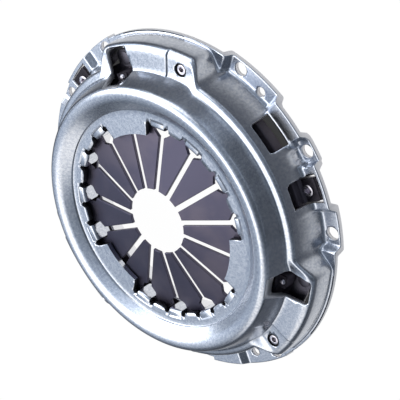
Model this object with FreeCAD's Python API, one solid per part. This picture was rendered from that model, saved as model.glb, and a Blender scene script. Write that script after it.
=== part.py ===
import FreeCAD, Part

import math
import os

from FreeCAD import Vector

# Clutch pressure plate for a 200 mm friction disc, seen on the photo from its release side.
# Millimetres and degrees. Z is the clutch axis and points to the release bearing.
# Z = 0 is the face of the bolt pads, which sits on the flywheel.

# The bolt circle drives the other radii, inwards from the rim to the spring's keyholes
bolt_r = 114.0

# Pressed steel cover
sheet = 3.2
cover_r = bolt_r + 5.5
flange_r = bolt_r + 4.2
flange_rise = 4.5
wall_foot_r = bolt_r - 7.0
wall_foot_round = 3.0
shoulder_edge_r = wall_foot_r - 5.4
shoulder_round = 3.4
shoulder_r = shoulder_edge_r - 4.8
shoulder_z = 27.8
bead_end_r = shoulder_r - 6.3
bead_start_r = bead_end_r - 6.0
bead_crest_z = 42.0
bead_inner_round = 7.0
bead_outer_round = 5.5
crease_r = bead_start_r - 9.1
crease_step = 0.9
ring_front_z = 36.0
tab_face_r = crease_r - 10.0
ring_inner_r = tab_face_r - 6.3
scallop_r = tab_face_r + 0.6

# Three lobes raised over the plate's lugs
sectors = 3
lobe_angle = 58.0
lobe_half = 22.6
lobe_z = 25.7
lobe_top_r = bolt_r
lobe_foot_r = lobe_top_r + 2.3
lobe_corner_round = 9.0
lobe_edge_round = 4.2
recess_half = 20.5
hole_recess_z = 24.5
hole_recess_from = -20.5
hole_recess_to = -9.3
access_offset = -15.0
access_r = shoulder_edge_r + 3.7
access_hole_d = 9.0
access_step = 1.6

# Window in each lobe, over the clip and the lug
window_offset = 13.0
window_outer_r = lobe_top_r + 0.4
window_outer_half = 8.8
window_inner_half = 10.2
window_neck_r = shoulder_r - 0.8
window_top_r = bead_end_r + 0.7
window_top_half = 7.0
window_corner = 3.0

# Openings in the side wall between the lobes
vent_offset = -52.0
vent_half = 6.0
vent_outer_r = wall_foot_r + 0.6
vent_top_z = 21.0
lug_gap_offset = -74.2
lug_gap_half = 4.6
lug_gap_outer_r = bolt_r + 1.6

# Bolt pads pressed down from the flange to the flywheel face
bolt_offset = 30.0
bolt_hole_d = 9.0
long_pad_from = -44.8
long_pad_to = -25.2
pad_inner_r = wall_foot_r - 0.4
short_pad_from = 25.5
short_pad_to = 38.2
pad_corner = 4.0
pilot_offset = -39.4
pilot_r = bolt_r - 2.8
pilot_hole_d = 6.4
dowel_offset = -62.7
dowel_pad_r = 8.2
dowel_hole_d = 8.6

# Tabs bent down through the spring to hold the fulcrum rings
fingers = 15
tabs_per_sector = 4
plain_angle = 72.0
tab_width = 10.8
tab_bend = 4.4
tab_hook_r = crease_r + 1.0
notch_width = 3.9
notch_end_r = tab_face_r + 3.6

# Diaphragm spring
fulcrum_r = crease_r - 1.9
cone_angle = 8.8
spring_t = 2.3
tip_r = 22.6
spring_outer_r = fulcrum_r + 16.5
slot_width = 3.7
keyhole_to_r = fulcrum_r - 2.3
keyhole_wide_r = keyhole_to_r - 8.6
keyhole_from_r = keyhole_wide_r - 4.2
keyhole_neck_half = 4.4
keyhole_half = 6.3
keyhole_round = 1.8

# Wire rings on both sides of the spring
wire_d = 3.0

# Cast-iron pressure plate, standing at its lowest, with the cover off the flywheel
friction_z = 6.0
plate_inner_r = fulcrum_r - 1.5
plate_outer_r = shoulder_edge_r - 0.8
rim_t = 7.6
web_t = 10.2
web_outer_r = spring_outer_r + 3.0
web_slope = 2.0
plate_edge = 1.0
plate_lift = 3.6
ridge_r = spring_outer_r - 2.4
ridge_width = 4.0
ridge_gaps = 15
ridge_gap_width = 7.0
running_gap = 0.3

# Straps between cover and plate
leaves = 3
leaf_t = 0.7
leaf_width = 11.0
leaf_flat = 13.0
strap_plate_offset = 14.0
strap_plate_r = plate_outer_r + 3.0
strap_rivet_d = 5.0
strap_head_d = 8.4
strap_head_h = 1.6
strap_top_head_h = 0.8
flare_extra_d = 1.4
flare_h = 1.0
eyelet_bore_d = 3.4
strap_lug_half = 9.0
strap_lug_r = strap_plate_r + 5.6
strap_lug_floor_z = 8.5
upset_depth = 2.0
upset_play = 0.4
lug_root_r = plate_outer_r - 6.0

# Clips that pull the plate back with the spring, each riveted to a boss
clip_offset = 13.0
clip_t = 1.0
clip_width = 9.0
clip_tip_r = spring_outer_r - 3.6
clip_rise_r = spring_outer_r + 0.4
clip_slant = 0.9
clip_bend = 0.3
boss_inner_r = spring_outer_r + 1.2
boss_outer_r = boss_inner_r + 5.4
boss_half = 4.8
boss_drop = 1.6
clip_rivet_r = boss_inner_r + 2.7
clip_rivet_d = 3.0
clip_head_d = 4.4
clip_head_h = 1.3
clip_head_taper = 1.0
clip_rivet_depth = 2.0

# Lugs of the plate in the gaps of the side wall, each faced with a steel plate
guide_lug_r = plate_outer_r + 13.4
guide_lug_half = 7.4
guide_lug_floor_z = 4.1
guide_lug_z = 7.3
guide_root_rise = 2.8
guide_root_run = 1.6
lug_plate_t = 1.2
guide_rivet_r = plate_outer_r + 6.4
guide_rivet_d = 5.0
guide_head_d = 7.6
guide_head_h = 0.9
guide_bore_d = 4.0
guide_bore_floor = 0.8

big = 400.0
cone_slope = math.tan(math.radians(cone_angle))
ring_back_z = ring_front_z - sheet
wire_reach = wire_d / 2 / math.cos(math.radians(cone_angle))
spring_fulcrum_z = ring_back_z - wire_d / 2 - wire_reach
spring_rise = spring_t / math.cos(math.radians(cone_angle))
flange_top_z = flange_rise + sheet
access_seat_z = hole_recess_z - access_step
sector_angles = [lobe_angle + 360.0 / sectors * k for k in range(sectors)]
finger_pitch = 360.0 / fingers


def spring_top(r):
    """Height of the spring's upper face at a radius."""
    return spring_fulcrum_z - cone_slope * (r - fulcrum_r)


def polar(r, angle, z=0.0):
    turn = math.radians(angle)
    return Vector(r * math.cos(turn), r * math.sin(turn), z)


def turned(shape, angle):
    """A copy of the shape turned about the clutch axis."""
    copy = shape.copy()
    copy.rotate(Vector(0, 0, 0), Vector(0, 0, 1), angle)
    return copy


def fused(shapes):
    result = shapes[0]
    if len(shapes) > 1:
        result = shapes[0].multiFuse(shapes[1:])
    return result.removeSplitter()


def rounded_wire(corners):
    """A closed wire through corners, each a point or a (point, radius) pair."""
    points = [c[0] if isinstance(c, tuple) else c for c in corners]
    radii = [c[1] if isinstance(c, tuple) else 0.0 for c in corners]
    count = len(points)
    starts = []
    ends = []
    middles = []
    for i in range(count):
        here = points[i]
        back = points[i - 1] - here
        ahead = points[(i + 1) % count] - here
        back.normalize()
        ahead.normalize()
        half = back.getAngle(ahead) / 2
        reach = radii[i] / math.tan(half)
        starts.append(here + back * reach)
        ends.append(here + ahead * reach)
        bisector = back + ahead
        if radii[i] > 0:
            bisector.normalize()
        middles.append(here + bisector * (radii[i] / math.sin(half) - radii[i]))
    edges = []
    for i in range(count):
        if radii[i] > 0:
            edges.append(Part.Arc(starts[i], middles[i], ends[i]).toShape())
        following = (i + 1) % count
        if (starts[following] - ends[i]).Length > 1e-6:
            edges.append(Part.LineSegment(ends[i], starts[following]).toShape())
    return Part.Wire(edges)


def section(corners):
    """A face in the radial plane from (r, z) or (r, z, radius) corners."""
    placed = []
    for corner in corners:
        point = Vector(corner[0], 0, corner[1])
        placed.append((point, corner[2]) if len(corner) > 2 else point)
    return Part.Face(rounded_wire(placed))


def spun(corners, start=0.0, sweep=360.0):
    """The section turned about the axis from one angle through another."""
    solid = section(corners).revolve(Vector(0, 0, 0), Vector(0, 0, 1), sweep)
    return turned(solid, start)


def prism(corners, low, high):
    """An upright prism from (x, y) or (x, y, radius) corners."""
    placed = []
    for corner in corners:
        point = Vector(corner[0], corner[1], low)
        placed.append((point, corner[2]) if len(corner) > 2 else point)
    return Part.Face(rounded_wire(placed)).extrude(Vector(0, 0, high - low))


def post(d, r, angle, low, high):
    """An upright round bar or hole."""
    return Part.makeCylinder(d / 2, high - low, polar(r, angle, low))


def moved_inward(path, distance):
    """The (r, z, radius) path of the sheet's back face, with its bends kept concentric."""
    lines = []
    for first, second in zip(path[:-1], path[1:]):
        along = Vector(second[0] - first[0], 0, second[1] - first[1])
        along.normalize()
        normal = Vector(along.z, 0, -along.x)
        lines.append((Vector(first[0], 0, first[1]) + normal * distance, along))
    result = [(lines[0][0].x, lines[0][0].z, 0.0)]
    for i in range(1, len(lines)):
        base, along = lines[i - 1]
        other, ahead = lines[i]
        cross = along.x * ahead.z - along.z * ahead.x
        gap = other - base
        step = (gap.x * ahead.z - gap.z * ahead.x) / cross
        corner = base + along * step
        radius = path[i][2]
        radius = radius + distance if cross > 0 else radius - distance
        result.append((corner.x, corner.z, max(radius, 0.3)))
    last = path[-1]
    result.append((last[0], last[1] - distance, 0.0))
    return result


# The cover's outer face from its inner edge to the rim
cover_path = [
    (ring_inner_r, ring_front_z, 0.0),
    (crease_r, ring_front_z, 1.0),
    (crease_r + 0.8, ring_front_z + crease_step, 2.0),
    (bead_start_r, bead_crest_z, bead_inner_round),
    (bead_end_r, bead_crest_z + 0.3, bead_outer_round),
    (shoulder_r, shoulder_z, 1.6),
    (shoulder_edge_r, shoulder_z - 0.3, shoulder_round),
    (wall_foot_r, flange_top_z, wall_foot_round),
    (flange_r, flange_top_z, 0.0),
]


def under(path, floor, inner_r):
    """The solid of revolution between a path and a floor."""
    corners = [(inner_r, path[0][1])] + list(path[1:])
    corners += [(path[-1][0], floor), (inner_r, floor)]
    return spun(corners)


def lobe_block(inset, top, floor):
    """One lobe's outer form, or with an inset its hollow."""
    half = lobe_half - math.degrees(inset / lobe_top_r)
    taper = (lobe_foot_r - lobe_top_r) / (lobe_z - flange_top_z)
    foot = lobe_foot_r + taper * (flange_top_z - floor) - inset
    head = lobe_foot_r - taper * (top - flange_top_z) - inset
    inner = shoulder_r + 1.0 - inset
    block = spun([(inner, floor), (foot, floor), (head, top), (inner, top)], -half, 2 * half)
    corners = []
    for edge in block.Edges:
        ends = [v.Point for v in edge.Vertexes]
        upright = len(ends) == 2 and abs(ends[0].z - ends[1].z) > 1
        if upright and min(math.hypot(p.x, p.y) for p in ends) > inner + 1:
            corners.append(edge)
    block = block.makeFillet(lobe_corner_round - inset, corners)
    rim = []
    for edge in block.Edges:
        box = edge.BoundBox
        on_top = abs(box.ZMin - top) < 1e-3 and abs(box.ZMax - top) < 1e-3
        middle = edge.valueAt((edge.FirstParameter + edge.LastParameter) / 2)
        if on_top and math.hypot(middle.x, middle.y) > inner + 1:
            rim.append(edge)
    return block.makeFillet(max(lobe_edge_round - inset, 0.8), rim)


def lobe_recess(inset):
    """What is taken off the shoulder in front of a lobe, or with an inset off its hollow."""
    spread = math.degrees(inset / shoulder_r)
    run = (shoulder_r - bead_end_r) / (bead_crest_z + 0.3 - shoulder_z)
    reach = inset * math.hypot(1, run)
    low = lobe_z - inset
    high = bead_crest_z - 6.0
    corners = [
        (shoulder_r + run * (shoulder_z - low) - reach, low),
        (lobe_top_r - 6.0, low),
        (lobe_top_r - 6.0, high),
        (shoulder_r + run * (shoulder_z - high) - reach, high),
    ]
    return spun(corners, -recess_half - spread, 2 * (recess_half + spread))


def hole_recess(inset):
    """The lower seat round each access hole, one step below the lobe's flat."""
    spread = math.degrees(inset / access_r)
    low = hole_recess_z - inset
    inner = shoulder_r + 1.4 - inset
    outer = lobe_top_r - lobe_edge_round + inset
    corners = [(inner, low), (outer, low), (outer, lobe_z + 1.0), (inner, lobe_z + 1.0)]
    start = hole_recess_from - spread
    return spun(corners, start, hole_recess_to + spread - start)


def pad(from_angle, to_angle, inner_r, grown, low, high):
    """A bolt pad's solid, or its hollow above."""
    spread = math.degrees(grown / inner_r)
    start = from_angle - spread
    sweep = to_angle + spread - start
    outer = cover_r if grown > 0 else cover_r + 2.0
    block = spun([(inner_r - grown, low), (outer, low), (outer, high), (inner_r - grown, high)],
                 start, sweep)
    corners = []
    for edge in block.Edges:
        box = edge.BoundBox
        upright = box.ZLength > (high - low) * 0.9
        if upright and math.hypot(box.Center.x, box.Center.y) < inner_r + 1:
            corners.append(edge)
    return block.makeFillet(pad_corner + grown, corners)


def dowel_pad(grown, low, high):
    """The round pad of the dowel hole, open towards the rim."""
    radius = dowel_pad_r + grown
    disc = post(2 * radius, bolt_r, 0, low, high)
    mouth = prism([(bolt_r, -radius), (cover_r + 5, -radius), (cover_r + 5, radius), (bolt_r, radius)],
                  low, high)
    return disc.fuse(mouth)


def tab():
    """One tab: it leaves the ring, turns down through the spring and hooks under the wire."""
    hook_top = spring_fulcrum_z - spring_rise - wire_reach - wire_d / 2
    hook_low = hook_top - sheet
    back = tab_face_r + sheet
    root = notch_end_r + 3.0
    corners = [
        (root, ring_front_z),
        (tab_face_r, ring_front_z, tab_bend),
        (tab_face_r, hook_low, tab_bend),
        (tab_hook_r, hook_low),
        (tab_hook_r, hook_top),
        (back, hook_top, tab_bend - sheet),
        (back, ring_back_z, tab_bend - sheet),
        (root, ring_back_z),
    ]
    blade = section(corners).extrude(Vector(0, tab_width, 0))
    blade.translate(Vector(0, -tab_width / 2, 0))
    return blade


def window_cut():
    """A window: through the lobe, and up into the bead's outer wall."""
    outline = [
        (window_top_r, -window_top_half),
        (window_neck_r, -window_inner_half),
        (window_outer_r, -window_outer_half, window_corner),
        (window_outer_r, window_outer_half, window_corner),
        (window_neck_r, window_inner_half),
        (window_top_r, window_top_half),
    ]
    return prism(outline, flange_top_z + 3.0, bead_crest_z + 2.0)


def wall_cut(half, outer_r):
    """An opening in the side wall that runs out into the flange."""
    inner = shoulder_r - sheet - 2.0
    block = spun([(inner, -1), (outer_r, -1), (outer_r, vent_top_z), (inner, vent_top_z)],
                 -half, 2 * half)
    tops = []
    for edge in block.Edges:
        box = edge.BoundBox
        if box.ZMin > vent_top_z - 0.01 and box.XLength > 3 * box.YLength:
            tops.append(edge)
    return block.makeFillet(3.0, tops)


def tab_angles():
    """Every slot of the spring has a tab, apart from the plain part in each sector."""
    angles = []
    for k in range(sectors):
        for n in range(1, tabs_per_sector + 1):
            angles.append(plain_angle + 360.0 / sectors * k + finger_pitch * n)
    return angles


def clutch_cover():
    outer = under(cover_path, flange_rise, ring_inner_r)
    inner = under(moved_inward(cover_path, sheet), -1.0, ring_inner_r - 2.0)
    for angle in sector_angles:
        outer = outer.cut(turned(lobe_recess(0.0), angle))
        outer = outer.fuse(turned(lobe_block(0.0, lobe_z, flange_rise), angle))
        outer = outer.cut(turned(hole_recess(0.0), angle))
        inner = inner.cut(turned(lobe_recess(sheet), angle))
        hollow = lobe_block(sheet, lobe_z - sheet, -1.0).cut(hole_recess(sheet))
        inner = inner.fuse(turned(hollow, angle))
    cover = outer.cut(inner)
    high = flange_top_z + 1.0
    pads = []
    hollows = []
    for angle in sector_angles:
        long_pad = (long_pad_from, long_pad_to, pad_inner_r)
        short_pad = (short_pad_from, short_pad_to, pad_inner_r)
        for shape in (long_pad, short_pad):
            pads.append(turned(pad(*shape, sheet, 0.0, flange_top_z), angle))
            hollows.append(turned(pad(*shape, 0.0, sheet, high), angle))
        pads.append(turned(dowel_pad(sheet, 0.0, flange_top_z), angle + dowel_offset))
        hollows.append(turned(dowel_pad(0.0, sheet, high), angle + dowel_offset))
    rim = Part.makeCylinder(cover_r, flange_top_z)
    pads = [p.common(rim) for p in pads]
    cover = cover.multiFuse(pads).cut(Part.makeCompound(hollows))
    cuts = []
    for angle in sector_angles:
        cuts.append(turned(window_cut(), angle + window_offset))
        cuts.append(turned(wall_cut(vent_half, vent_outer_r), angle + vent_offset))
        cuts.append(turned(wall_cut(lug_gap_half, lug_gap_outer_r), angle + lug_gap_offset))
        cuts.append(post(access_hole_d, access_r, angle + access_offset, access_seat_z, big))
        cuts.append(post(strap_rivet_d, access_r, angle + access_offset, flange_top_z, big))
        cuts.append(post(bolt_hole_d, bolt_r, angle - bolt_offset, -1, high))
        cuts.append(post(bolt_hole_d, bolt_r, angle + bolt_offset, -1, high))
        cuts.append(post(pilot_hole_d, pilot_r, angle + pilot_offset, -1, high))
        cuts.append(post(dowel_hole_d, bolt_r, angle + dowel_offset, -1, high))
    cover = cover.cut(Part.makeCompound(cuts))
    bites = []
    group = finger_pitch * (tabs_per_sector + 1)
    side = math.degrees((tab_width / 2 + notch_width / 2) / notch_end_r)
    start = finger_pitch - side
    mouth_r = ring_inner_r - 6.0
    low = ring_back_z - 1.0
    high = ring_front_z + 1.0
    for k in range(sectors):
        ring = [(mouth_r, low), (scallop_r, low), (scallop_r, high), (mouth_r, high)]
        bites.append(spun(ring, plain_angle + 360.0 / sectors * k + start, group - 2 * start))
    for angle in tab_angles():
        half = tab_width / 2
        root = prism([(mouth_r, -half), (notch_end_r + 1, -half), (notch_end_r + 1, half), (mouth_r, half)],
                     low, high)
        bites.append(turned(root, angle))
        for sign in (-1, 1):
            centre = sign * (tab_width + notch_width) / 2
            end_r = notch_end_r - notch_width / 2
            left = centre - notch_width / 2
            right = centre + notch_width / 2
            slot = prism([(mouth_r, left), (end_r, left), (end_r, right), (mouth_r, right)], low, high)
            tip = Part.makeCylinder(notch_width / 2, high - low, Vector(end_r, centre, low))
            bites.append(turned(slot.fuse(tip), angle))
    cover = cover.cut(Part.makeCompound(bites))
    return fused([cover] + [turned(tab(), angle) for angle in tab_angles()])


def diaphragm_spring():
    corners = [(tip_r, spring_top(tip_r)), (spring_outer_r, spring_top(spring_outer_r)),
               (spring_outer_r, spring_top(spring_outer_r) - spring_rise),
               (tip_r, spring_top(tip_r) - spring_rise)]
    spring = spun(corners)
    low = spring_top(spring_outer_r) - 10
    high = spring_top(tip_r) + 10
    slot = prism([(0, -slot_width / 2), (keyhole_from_r + 2, -slot_width / 2),
                  (keyhole_from_r + 2, slot_width / 2), (0, slot_width / 2)], low, high)
    keyhole = prism([
        (keyhole_from_r, -keyhole_neck_half, keyhole_round),
        (keyhole_wide_r, -keyhole_half, keyhole_round),
        (keyhole_to_r, -keyhole_half, keyhole_round),
        (keyhole_to_r, keyhole_half, keyhole_round),
        (keyhole_wide_r, keyhole_half, keyhole_round),
        (keyhole_from_r, keyhole_neck_half, keyhole_round),
    ], low, high)
    cuts = [turned(slot.fuse(keyhole), finger_pitch * k) for k in range(fingers)]
    return spring.cut(Part.makeCompound(cuts))


def fulcrum_ring(side):
    """A wire ring on the spring's upper (1) or lower (-1) face."""
    spring_face = spring_fulcrum_z if side > 0 else spring_fulcrum_z - spring_rise
    centre = Vector(0, 0, spring_face + side * wire_reach)
    return Part.makeTorus(fulcrum_r, wire_d / 2, centre)


# Seats of the straps: the cover's end under each access hole, the plate's end on a lug
strap_cover_z = hole_recess_z - sheet
strap_plate_z = strap_cover_z - plate_lift
strap_lug_z = strap_plate_z - leaves * leaf_t
friction_top = friction_z + rim_t
web_top = friction_z + web_t
boss_z = spring_top(spring_outer_r) - boss_drop


def pressure_plate():
    ridge_z = spring_top(ridge_r) - spring_rise - running_gap
    ring = spun([
        (plate_inner_r, friction_z, plate_edge),
        (plate_outer_r, friction_z, plate_edge),
        (plate_outer_r, friction_top, plate_edge),
        (web_outer_r + web_slope, friction_top),
        (web_outer_r, web_top, plate_edge),
        (plate_inner_r, web_top, 2 * plate_edge),
    ])
    half = ridge_width / 2
    ridge = spun([
        (ridge_r - half - 1.0, web_top - 1.0),
        (ridge_r + half + 1.0, web_top - 1.0),
        (ridge_r + half, ridge_z, half * 0.7),
        (ridge_r - half, ridge_z, half * 0.7),
    ])
    gap = prism([(ridge_r - 8, -ridge_gap_width / 2), (ridge_r + 8, -ridge_gap_width / 2),
                 (ridge_r + 8, ridge_gap_width / 2), (ridge_r - 8, ridge_gap_width / 2)],
                web_top + 1.0, ridge_z + 5)
    gaps = [turned(gap, finger_pitch * k) for k in range(ridge_gaps)]
    ridge = ridge.cut(Part.makeCompound(gaps))
    parts = [ring, ridge]
    holes = []
    for angle in sector_angles:
        lug = prism([(lug_root_r, -strap_lug_half), (strap_lug_r, -strap_lug_half, pad_corner),
                     (strap_lug_r, strap_lug_half, pad_corner), (lug_root_r, strap_lug_half)],
                    strap_lug_floor_z, strap_lug_z)
        parts.append(turned(lug, angle + strap_plate_offset))
        boss = prism([(boss_inner_r, -boss_half, 1.0), (boss_outer_r, -boss_half, 1.5),
                      (boss_outer_r, boss_half, 1.5), (boss_inner_r, boss_half, 1.0)],
                     web_top - 4, boss_z)
        parts.append(turned(boss, angle + clip_offset))
        guide = section([
            (lug_root_r, friction_z + plate_edge),
            (plate_outer_r + plate_edge, friction_z + plate_edge),
            (plate_outer_r + plate_edge + guide_root_run, guide_lug_floor_z),
            (guide_lug_r, guide_lug_floor_z),
            (guide_lug_r, guide_lug_z),
            (plate_outer_r + 2 * guide_root_run, guide_lug_z),
            (plate_outer_r + guide_root_run, guide_lug_z + guide_root_rise),
            (lug_root_r, guide_lug_z + guide_root_rise),
        ]).extrude(Vector(0, 2 * guide_lug_half, 0))
        guide.translate(Vector(0, -guide_lug_half, 0))
        parts.append(turned(guide, angle + lug_gap_offset))
        strap_at = angle + strap_plate_offset
        holes.append(post(strap_rivet_d, strap_plate_r, strap_at, -1, strap_lug_z + 1))
        holes.append(post(strap_head_d, strap_plate_r, strap_at, -1, strap_lug_floor_z + upset_depth))
        clip_at = angle + clip_offset
        holes.append(post(clip_rivet_d, clip_rivet_r, clip_at, web_top - clip_rivet_depth, boss_z + 1))
        guide_at = angle + lug_gap_offset
        holes.append(post(guide_rivet_d, guide_rivet_r, guide_at, -1, guide_lug_z + 1))
    plate = fused(parts)
    return plate.cut(Part.makeCompound(holes))


def strap_leaf(layer):
    """One spring-steel leaf: flat at both rivets, sloping down from cover to plate."""
    start = polar(access_r, access_offset)
    end = polar(strap_plate_r, strap_plate_offset)
    length = (end - start).Length
    top = strap_cover_z - layer * leaf_t
    drop = strap_cover_z - strap_plate_z
    flat = leaf_flat / 2
    side = [
        Vector(-flat, 0, top), Vector(flat, 0, top), Vector(length - flat, 0, top - drop),
        Vector(length + flat, 0, top - drop), Vector(length + flat, 0, top - drop - leaf_t),
        Vector(length - flat, 0, top - drop - leaf_t), Vector(flat, 0, top - leaf_t),
        Vector(-flat, 0, top - leaf_t),
    ]
    leaf = Part.Face(Part.makePolygon(side + [side[0]])).extrude(Vector(0, leaf_width, 0))
    leaf.translate(Vector(0, -leaf_width / 2, 0))
    end_round = min(leaf_flat, leaf_width) / 2 - 0.4
    outline = prism([(-flat, -leaf_width / 2, end_round), (length + flat, -leaf_width / 2, end_round),
                     (length + flat, leaf_width / 2, end_round), (-flat, leaf_width / 2, end_round)],
                    -big, big)
    leaf = leaf.common(outline)
    for along in (0, length):
        leaf = leaf.cut(Part.makeCylinder(strap_rivet_d / 2, 2 * big, Vector(along, 0, -big)))
    direction = math.degrees(math.atan2(end.y - start.y, end.x - start.x))
    leaf.rotate(Vector(0, 0, 0), Vector(0, 0, 1), direction)
    leaf.translate(start)
    return leaf


def strap_cover_rivet():
    """A hollow rivet: its head lies under the leaves, its end is flared in the access hole."""
    low = strap_cover_z - leaves * leaf_t
    seat = access_seat_z
    shank = post(strap_rivet_d, access_r, access_offset, low, seat)
    head = post(strap_head_d, access_r, access_offset, low - strap_head_h, low)
    flare = post(strap_rivet_d + flare_extra_d, access_r, access_offset, seat, seat + flare_h)
    bore = post(eyelet_bore_d, access_r, access_offset, low - big, big)
    return fused([shank, head, flare]).cut(bore)


def strap_plate_rivet():
    """A rivet flush with the top leaf, upset in the counterbore under the lug."""
    at = strap_plate_offset
    shank = post(strap_rivet_d, strap_plate_r, at, strap_lug_floor_z + upset_depth, strap_plate_z)
    head = post(strap_head_d, strap_plate_r, at, strap_plate_z, strap_plate_z + strap_top_head_h)
    upset = post(strap_head_d - upset_play, strap_plate_r, at, strap_lug_floor_z + upset_play,
                 strap_lug_floor_z + upset_depth)
    return fused([shank, head, upset])


def retraction_clip():
    """A bent strip on the boss that reaches over the spring's outer edge."""
    hook_z = spring_top(clip_tip_r) + running_gap
    corners = [
        (boss_outer_r, boss_z),
        (boss_outer_r, boss_z + clip_t),
        (clip_rise_r + clip_slant + clip_bend, boss_z + clip_t),
        (clip_rise_r + clip_slant, hook_z),
        (clip_rise_r, hook_z + clip_t),
        (clip_tip_r, hook_z + clip_t),
        (clip_tip_r, hook_z),
        (clip_rise_r - clip_bend, hook_z),
        (clip_rise_r + clip_bend, boss_z),
    ]
    strip = section(corners).extrude(Vector(0, clip_width, 0))
    strip.translate(Vector(0, -clip_width / 2, 0))
    hole = post(clip_rivet_d, clip_rivet_r, 0, -1, big)
    return turned(strip.cut(hole), clip_offset)


def clip_rivet():
    low = web_top - clip_rivet_depth
    top = boss_z + clip_t
    shank = post(clip_rivet_d, clip_rivet_r, clip_offset, low, top)
    head = Part.makeCone(clip_head_d / 2, clip_head_d / 2 - clip_head_taper, clip_head_h,
                         polar(clip_rivet_r, clip_offset, top))
    return fused([shank, head])


def lug_plate():
    """The dark steel plate on each guide lug."""
    inner = plate_outer_r + 2 * guide_root_run + 0.1
    outline = prism([(inner, -guide_lug_half), (guide_lug_r, -guide_lug_half, 1.5),
                     (guide_lug_r, guide_lug_half, 1.5), (inner, guide_lug_half)],
                    guide_lug_z, guide_lug_z + lug_plate_t)
    hole = post(guide_rivet_d, guide_rivet_r, 0, -1, big)
    return turned(outline.cut(hole), lug_gap_offset)


def guide_rivet():
    """A hollow rivet through the lug and its plate."""
    low = guide_lug_floor_z
    top = guide_lug_z + lug_plate_t
    shank = post(guide_rivet_d, guide_rivet_r, lug_gap_offset, low, top)
    head = post(guide_head_d, guide_rivet_r, lug_gap_offset, top, top + guide_head_h)
    bore = post(guide_bore_d, guide_rivet_r, lug_gap_offset, low + guide_bore_floor, big)
    return fused([shank, head]).cut(bore)


nodes = {
    "clutch_cover": clutch_cover(),
    "diaphragm_spring": diaphragm_spring(),
    "upper_fulcrum_ring": fulcrum_ring(1),
    "lower_fulcrum_ring": fulcrum_ring(-1),
    "pressure_plate": pressure_plate(),
}
for number, angle in enumerate(sector_angles, start=1):
    for layer in range(leaves):
        name = "strap_{}_leaf_{}".format(number, "abc"[layer])
        nodes[name] = turned(strap_leaf(layer), angle)
    nodes["strap_cover_rivet_{}".format(number)] = turned(strap_cover_rivet(), angle)
    nodes["strap_plate_rivet_{}".format(number)] = turned(strap_plate_rivet(), angle)
    nodes["retraction_clip_{}".format(number)] = turned(retraction_clip(), angle)
    nodes["clip_rivet_{}".format(number)] = turned(clip_rivet(), angle)
    nodes["lug_plate_{}".format(number)] = turned(lug_plate(), angle)
    nodes["lug_rivet_{}".format(number)] = turned(guide_rivet(), angle)

os.makedirs("parts", exist_ok=True)
for name, shape in nodes.items():
    print(name, "solids", len(shape.Solids), "valid", shape.isValid(), "volume", round(shape.Volume, 1))
    shape.exportStep("parts/{}.step".format(name))
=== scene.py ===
import math

import bmesh
import bpy
from mathutils import Matrix, Vector


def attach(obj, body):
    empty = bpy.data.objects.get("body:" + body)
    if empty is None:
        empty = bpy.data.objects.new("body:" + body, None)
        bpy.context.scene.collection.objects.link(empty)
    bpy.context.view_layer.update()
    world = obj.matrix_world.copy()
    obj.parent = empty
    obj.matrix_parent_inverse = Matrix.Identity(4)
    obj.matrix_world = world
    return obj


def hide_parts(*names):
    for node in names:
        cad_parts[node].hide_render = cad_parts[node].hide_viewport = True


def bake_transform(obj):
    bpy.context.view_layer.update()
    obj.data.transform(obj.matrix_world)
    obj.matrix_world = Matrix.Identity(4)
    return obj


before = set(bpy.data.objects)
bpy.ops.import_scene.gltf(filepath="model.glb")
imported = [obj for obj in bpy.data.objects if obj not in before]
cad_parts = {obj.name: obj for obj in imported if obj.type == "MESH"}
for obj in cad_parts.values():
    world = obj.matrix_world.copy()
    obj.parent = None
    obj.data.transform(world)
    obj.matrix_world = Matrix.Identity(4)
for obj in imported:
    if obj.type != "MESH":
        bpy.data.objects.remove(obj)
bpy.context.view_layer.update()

# Pressed cover, the piece that bolts to the flywheel. It is one blank of 3.2 mm steel sheet,
# drawn to a bead, a stepped shoulder, three raised lobes and a flange with lower bolt pads,
# and then pierced. Lengths are millimetres and angles degrees, measured about the clutch axis.
mm = 0.001
sheet = 3.2
cover_r = 119.5
flange_r = 118.2
flange_z = 7.7
pad_z = sheet
ring_r = 59.1
ring_z = 36.0
crease_r, crease_top_r, crease_rise = 75.4, 76.0, 1.1
bead_z = 42.0
bead_inner_r, bead_outer_r = 83.6, 91.0
shoulder_inner_r, shoulder_inner_z = 96.8, 27.9
shoulder_edge_r, shoulder_edge_z = 101.6, 27.2
lobe_z = 25.7
lobe_inner_r, lobe_edge_r, lobe_foot_r = 97.9, 115.2, 116.3
wall_foot_r, pad_foot_r = 107.0, 107.4
rolled_edge, sheared_edge = 0.7, 0.25
lobe_angle = 58.0
sectors = 3
sector_turn = 120.0
hole_recess_drop = 1.2
hole_recess_end = -9.3
lobe_ends = (17.4, 25.2)
long_pad = (-44.8, -25.2)
short_pad = (25.5, 38.2)
pad_end_run = 2.4
pad_circle_r = 114.0
dowel_offset = -62.7
dowel_pad_r = 8.2
dowel_pad_run = 2.2
dowel_pad_reach, dowel_pad_from_r = 1.5, 103.0
coarse_step = 1.1
fine_step = 0.3
change_margin = 1.6


def ramp(low, high, value):
    """0 at low and 1 at high, with smooth ends."""
    part = min(max((value - low) / (high - low), 0.0), 1.0)
    return part * part * part * (part * (part * 6 - 15) + 10)


def between(a, b, part):
    return [p + (q - p) * part for p, q in zip(a, b)]


def pad_share(rel, grown):
    """1 on a bolt pad, 0 on the flange. The pad is larger below than above, by grown degrees."""
    share = 0.0
    for start, end in (long_pad, short_pad):
        rise = ramp(start - grown - pad_end_run / 2, start - grown + pad_end_run / 2, rel)
        fall = ramp(end + grown - pad_end_run / 2, end + grown + pad_end_run / 2, rel)
        share = max(share, rise - fall)
    return share


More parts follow.
